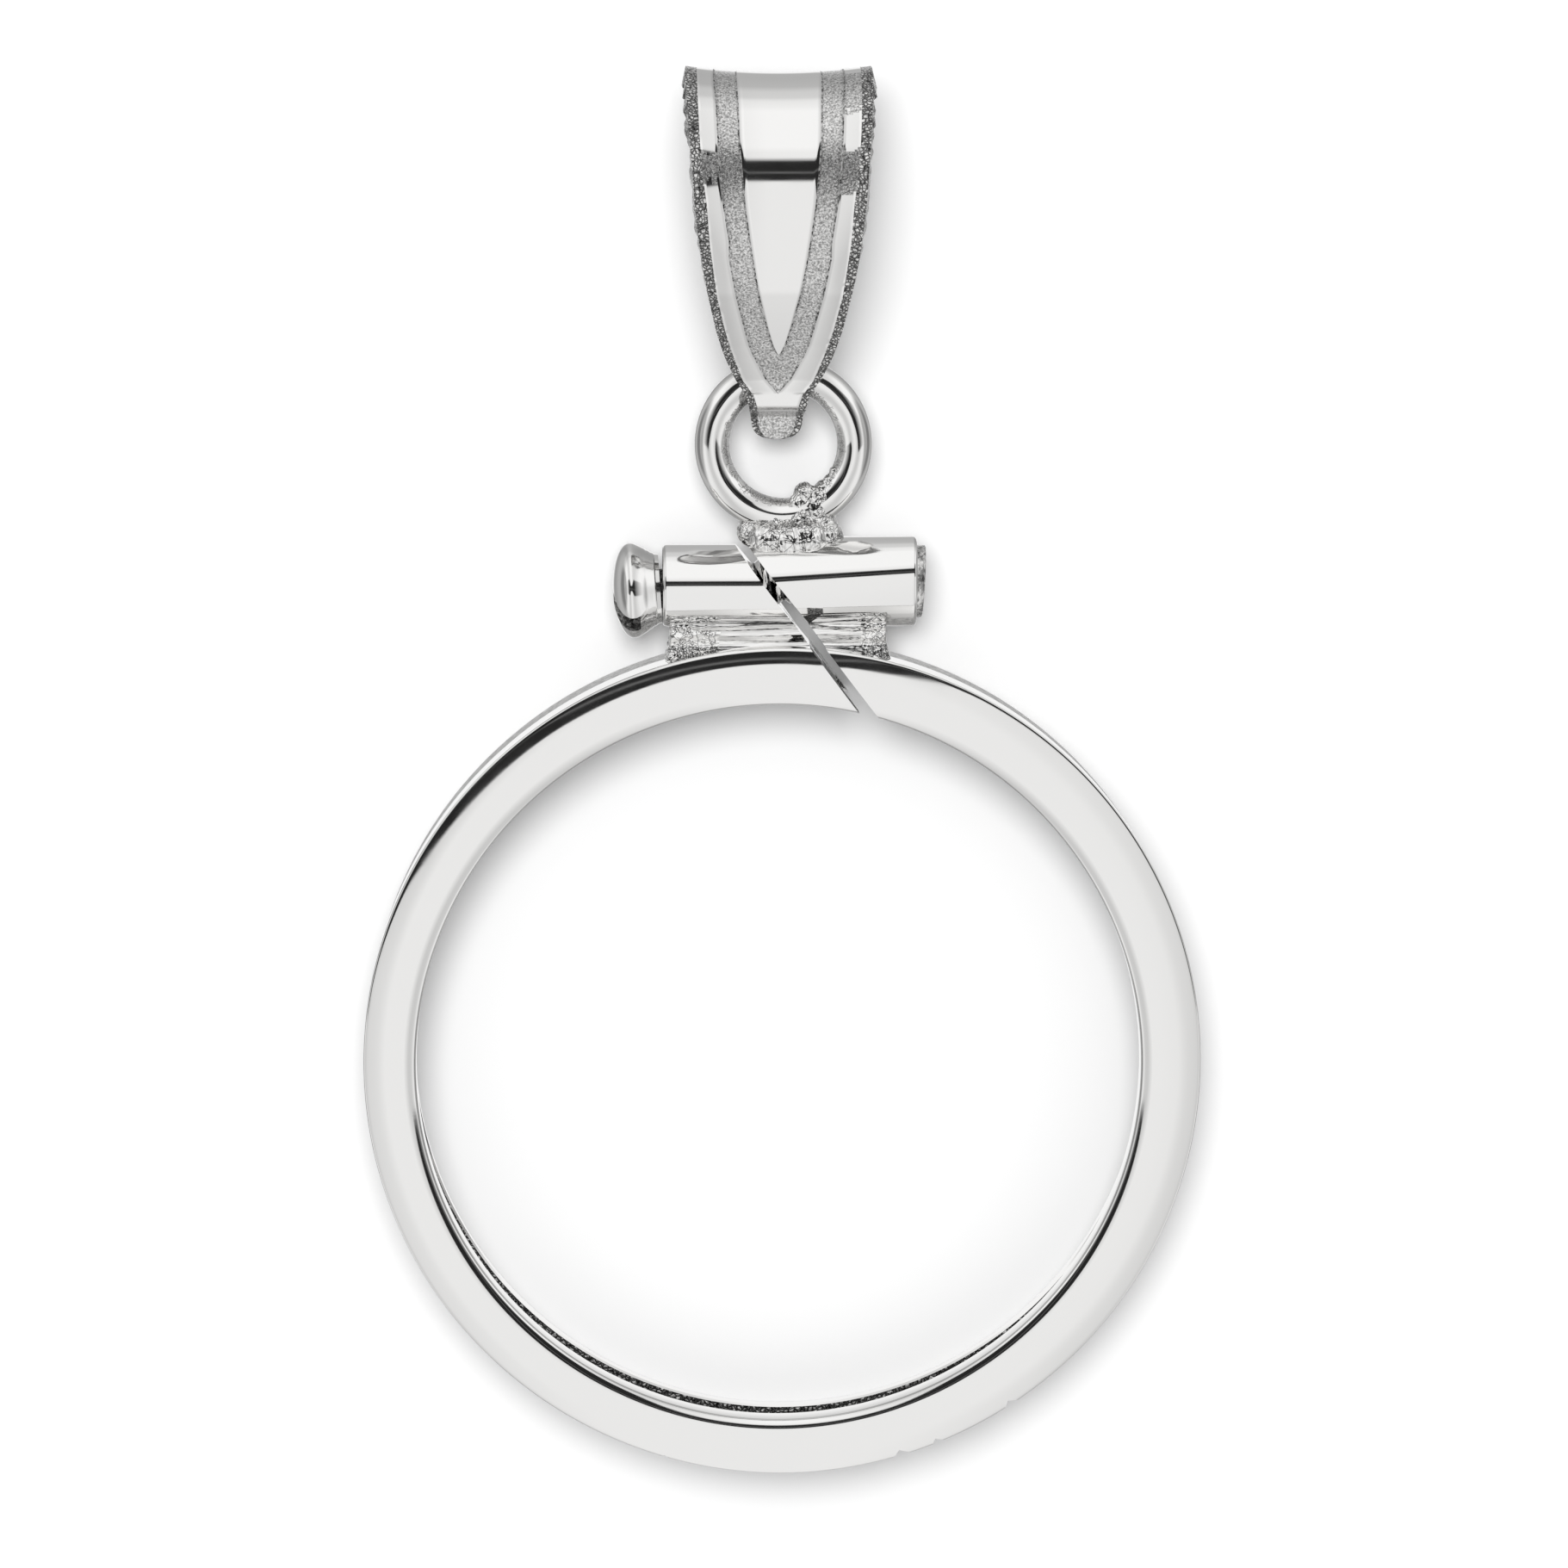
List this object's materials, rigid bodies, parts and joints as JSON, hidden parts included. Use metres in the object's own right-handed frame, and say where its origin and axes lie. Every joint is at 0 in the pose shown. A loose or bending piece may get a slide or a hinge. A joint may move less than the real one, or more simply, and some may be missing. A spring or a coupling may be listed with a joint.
{
  "type": "coin bezel",
  "caption": "Screw-top coin bezel: a grooved split ring grips a small coin by its rim and hangs on a chain by a jump ring and a folded leaf bail.",
  "frame": {"origin": "centre of the coin's place, halfway through the coin's thickness", "axes": "+Z out of the front lip towards the viewer, +Y towards the pendant's top, +X to the viewer's right; the bezel lies on its back"},
  "size_m": [0.018, 0.0304, 0.0049],
  "materials": {
    "bezel_metal": "polished",
    "screw_metal": "polished",
    "bail_metal": "polished"
  },
  "bodies": {
    "frame": {"bezel_frame": "bezel_metal"},
    "screw": {"clamp_screw": "screw_metal"},
    "bail": {"bail": "bail_metal"}
  },
  "joints": [
    {"name": "bail_hinge", "type": "hinge", "parent": "frame", "child": "bail", "pos_m": [0, 0.01478, 0.00013], "axis": [1, 0, 0], "range_deg": [-67, 32]},
    {"name": "screw_slide", "type": "slide", "parent": "frame", "child": "screw", "axis": [-0.9981, -0.061, 0], "range_m": [0, 0.0054]}
  ]
}
